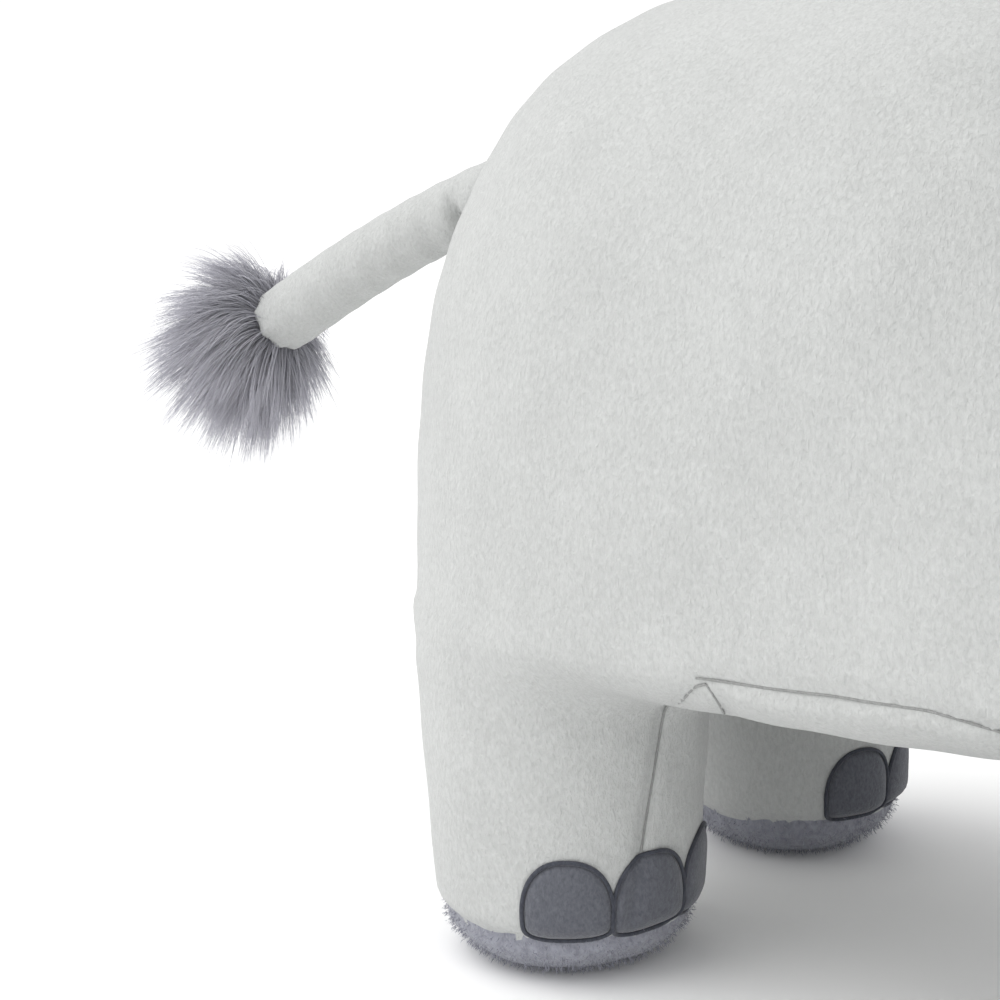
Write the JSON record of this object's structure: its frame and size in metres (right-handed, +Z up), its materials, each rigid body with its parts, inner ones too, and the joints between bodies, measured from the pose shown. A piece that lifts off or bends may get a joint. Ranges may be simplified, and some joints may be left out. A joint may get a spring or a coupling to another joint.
{
  "type": "stuffed elephant",
  "caption": "Standing soft toy elephant in pale grey plush with slate toenails, a hanging trunk, floppy ears and a tail with a long fur tuft.",
  "frame": {"origin": "centre of the whole object's base, on the floor under the feet", "axes": "+Z up, +Y towards the tail, +X towards the elephant's left side"},
  "size_m": [0.5064, 0.894, 0.446],
  "materials": {
    "minky": "short soft pile",
    "sole_plush": "fuzzy plush",
    "toenail_felt": "short plush with a stitched edge",
    "ear_lining": "fuzzy plush",
    "tuft_fur": "long faux fur",
    "filling": "polyester fibre",
    "eye_plastic": "polished",
    "washer_plastic": "moulded"
  },
  "bodies": {
    "elephant_body": {"belly_gusset": "minky", "body_stuffing": "filling", "chin_panel": "minky", "forehead_gusset": "minky", "head_stuffing": "filling", "left_body_panel": "minky", "left_eye": "eye_plastic", "left_eye_washer": "washer_plastic", "left_front_inner_leg_panel": "minky", "left_front_inner_toenail": "toenail_felt", "left_front_leg_stuffing": "filling", "left_front_middle_toenail": "toenail_felt", "left_front_outer_toenail": "toenail_felt", "left_front_sole": "sole_plush", "left_head_panel": "minky", "left_hind_inner_leg_panel": "minky", "left_hind_inner_toenail": "toenail_felt", "left_hind_leg_stuffing": "filling", "left_hind_middle_toenail": "toenail_felt", "left_hind_outer_toenail": "toenail_felt", "left_hind_sole": "sole_plush", "right_body_panel": "minky", "right_eye": "eye_plastic", "right_eye_washer": "washer_plastic", "right_front_inner_leg_panel": "minky", "right_front_inner_toenail": "toenail_felt", "right_front_leg_stuffing": "filling", "right_front_middle_toenail": "toenail_felt", "right_front_outer_toenail": "toenail_felt", "right_front_sole": "sole_plush", "right_head_panel": "minky", "right_hind_inner_leg_panel": "minky", "right_hind_inner_toenail": "toenail_felt", "right_hind_leg_stuffing": "filling", "right_hind_middle_toenail": "toenail_felt", "right_hind_outer_toenail": "toenail_felt", "right_hind_sole": "sole_plush"},
    "trunk": {"trunk_left_panel": "minky", "trunk_right_panel": "minky", "trunk_stuffing": "filling", "trunk_tip_disc": "minky"},
    "right_ear": {"right_ear_back": "minky", "right_ear_lining": "ear_lining", "right_ear_wadding": "filling"},
    "left_ear": {"left_ear_back": "minky", "left_ear_lining": "ear_lining", "left_ear_wadding": "filling"},
    "tail": {"tail_sleeve": "minky", "tail_stuffing": "filling"},
    "tuft": {"tail_tuft": "tuft_fur"}
  },
  "joints": [
    {"name": "trunk_lift", "type": "hinge", "parent": "elephant_body", "child": "trunk", "pos_m": [0, -0.34408, 0.304], "axis": [1, 0, 0], "range_deg": [-35, 15], "stiffness_Nm_per_rad": 1.5},
    {"name": "right_ear_flap", "type": "hinge", "parent": "elephant_body", "child": "right_ear", "pos_m": [-0.10986, -0.23008, 0.348], "axis": [0, 0, -1], "range_deg": [-35, 25], "stiffness_Nm_per_rad": 0.3},
    {"name": "left_ear_flap", "type": "hinge", "parent": "elephant_body", "child": "left_ear", "pos_m": [0.10986, -0.23008, 0.348], "axis": [0, 0, 1], "range_deg": [-35, 25], "stiffness_Nm_per_rad": 0.3},
    {"name": "tail_lift", "type": "hinge", "parent": "elephant_body", "child": "tail", "pos_m": [0, 0.18402, 0.308], "axis": [1, 0, 0], "range_deg": [-20, 35], "stiffness_Nm_per_rad": 0.6},
    {"name": "tuft_swing", "type": "hinge", "parent": "tail", "child": "tuft", "pos_m": [0, 0.35648, 0.23832], "axis": [0, 0.3746, 0.9272], "range_deg": [-28, 28], "stiffness_Nm_per_rad": 0.1}
  ]
}
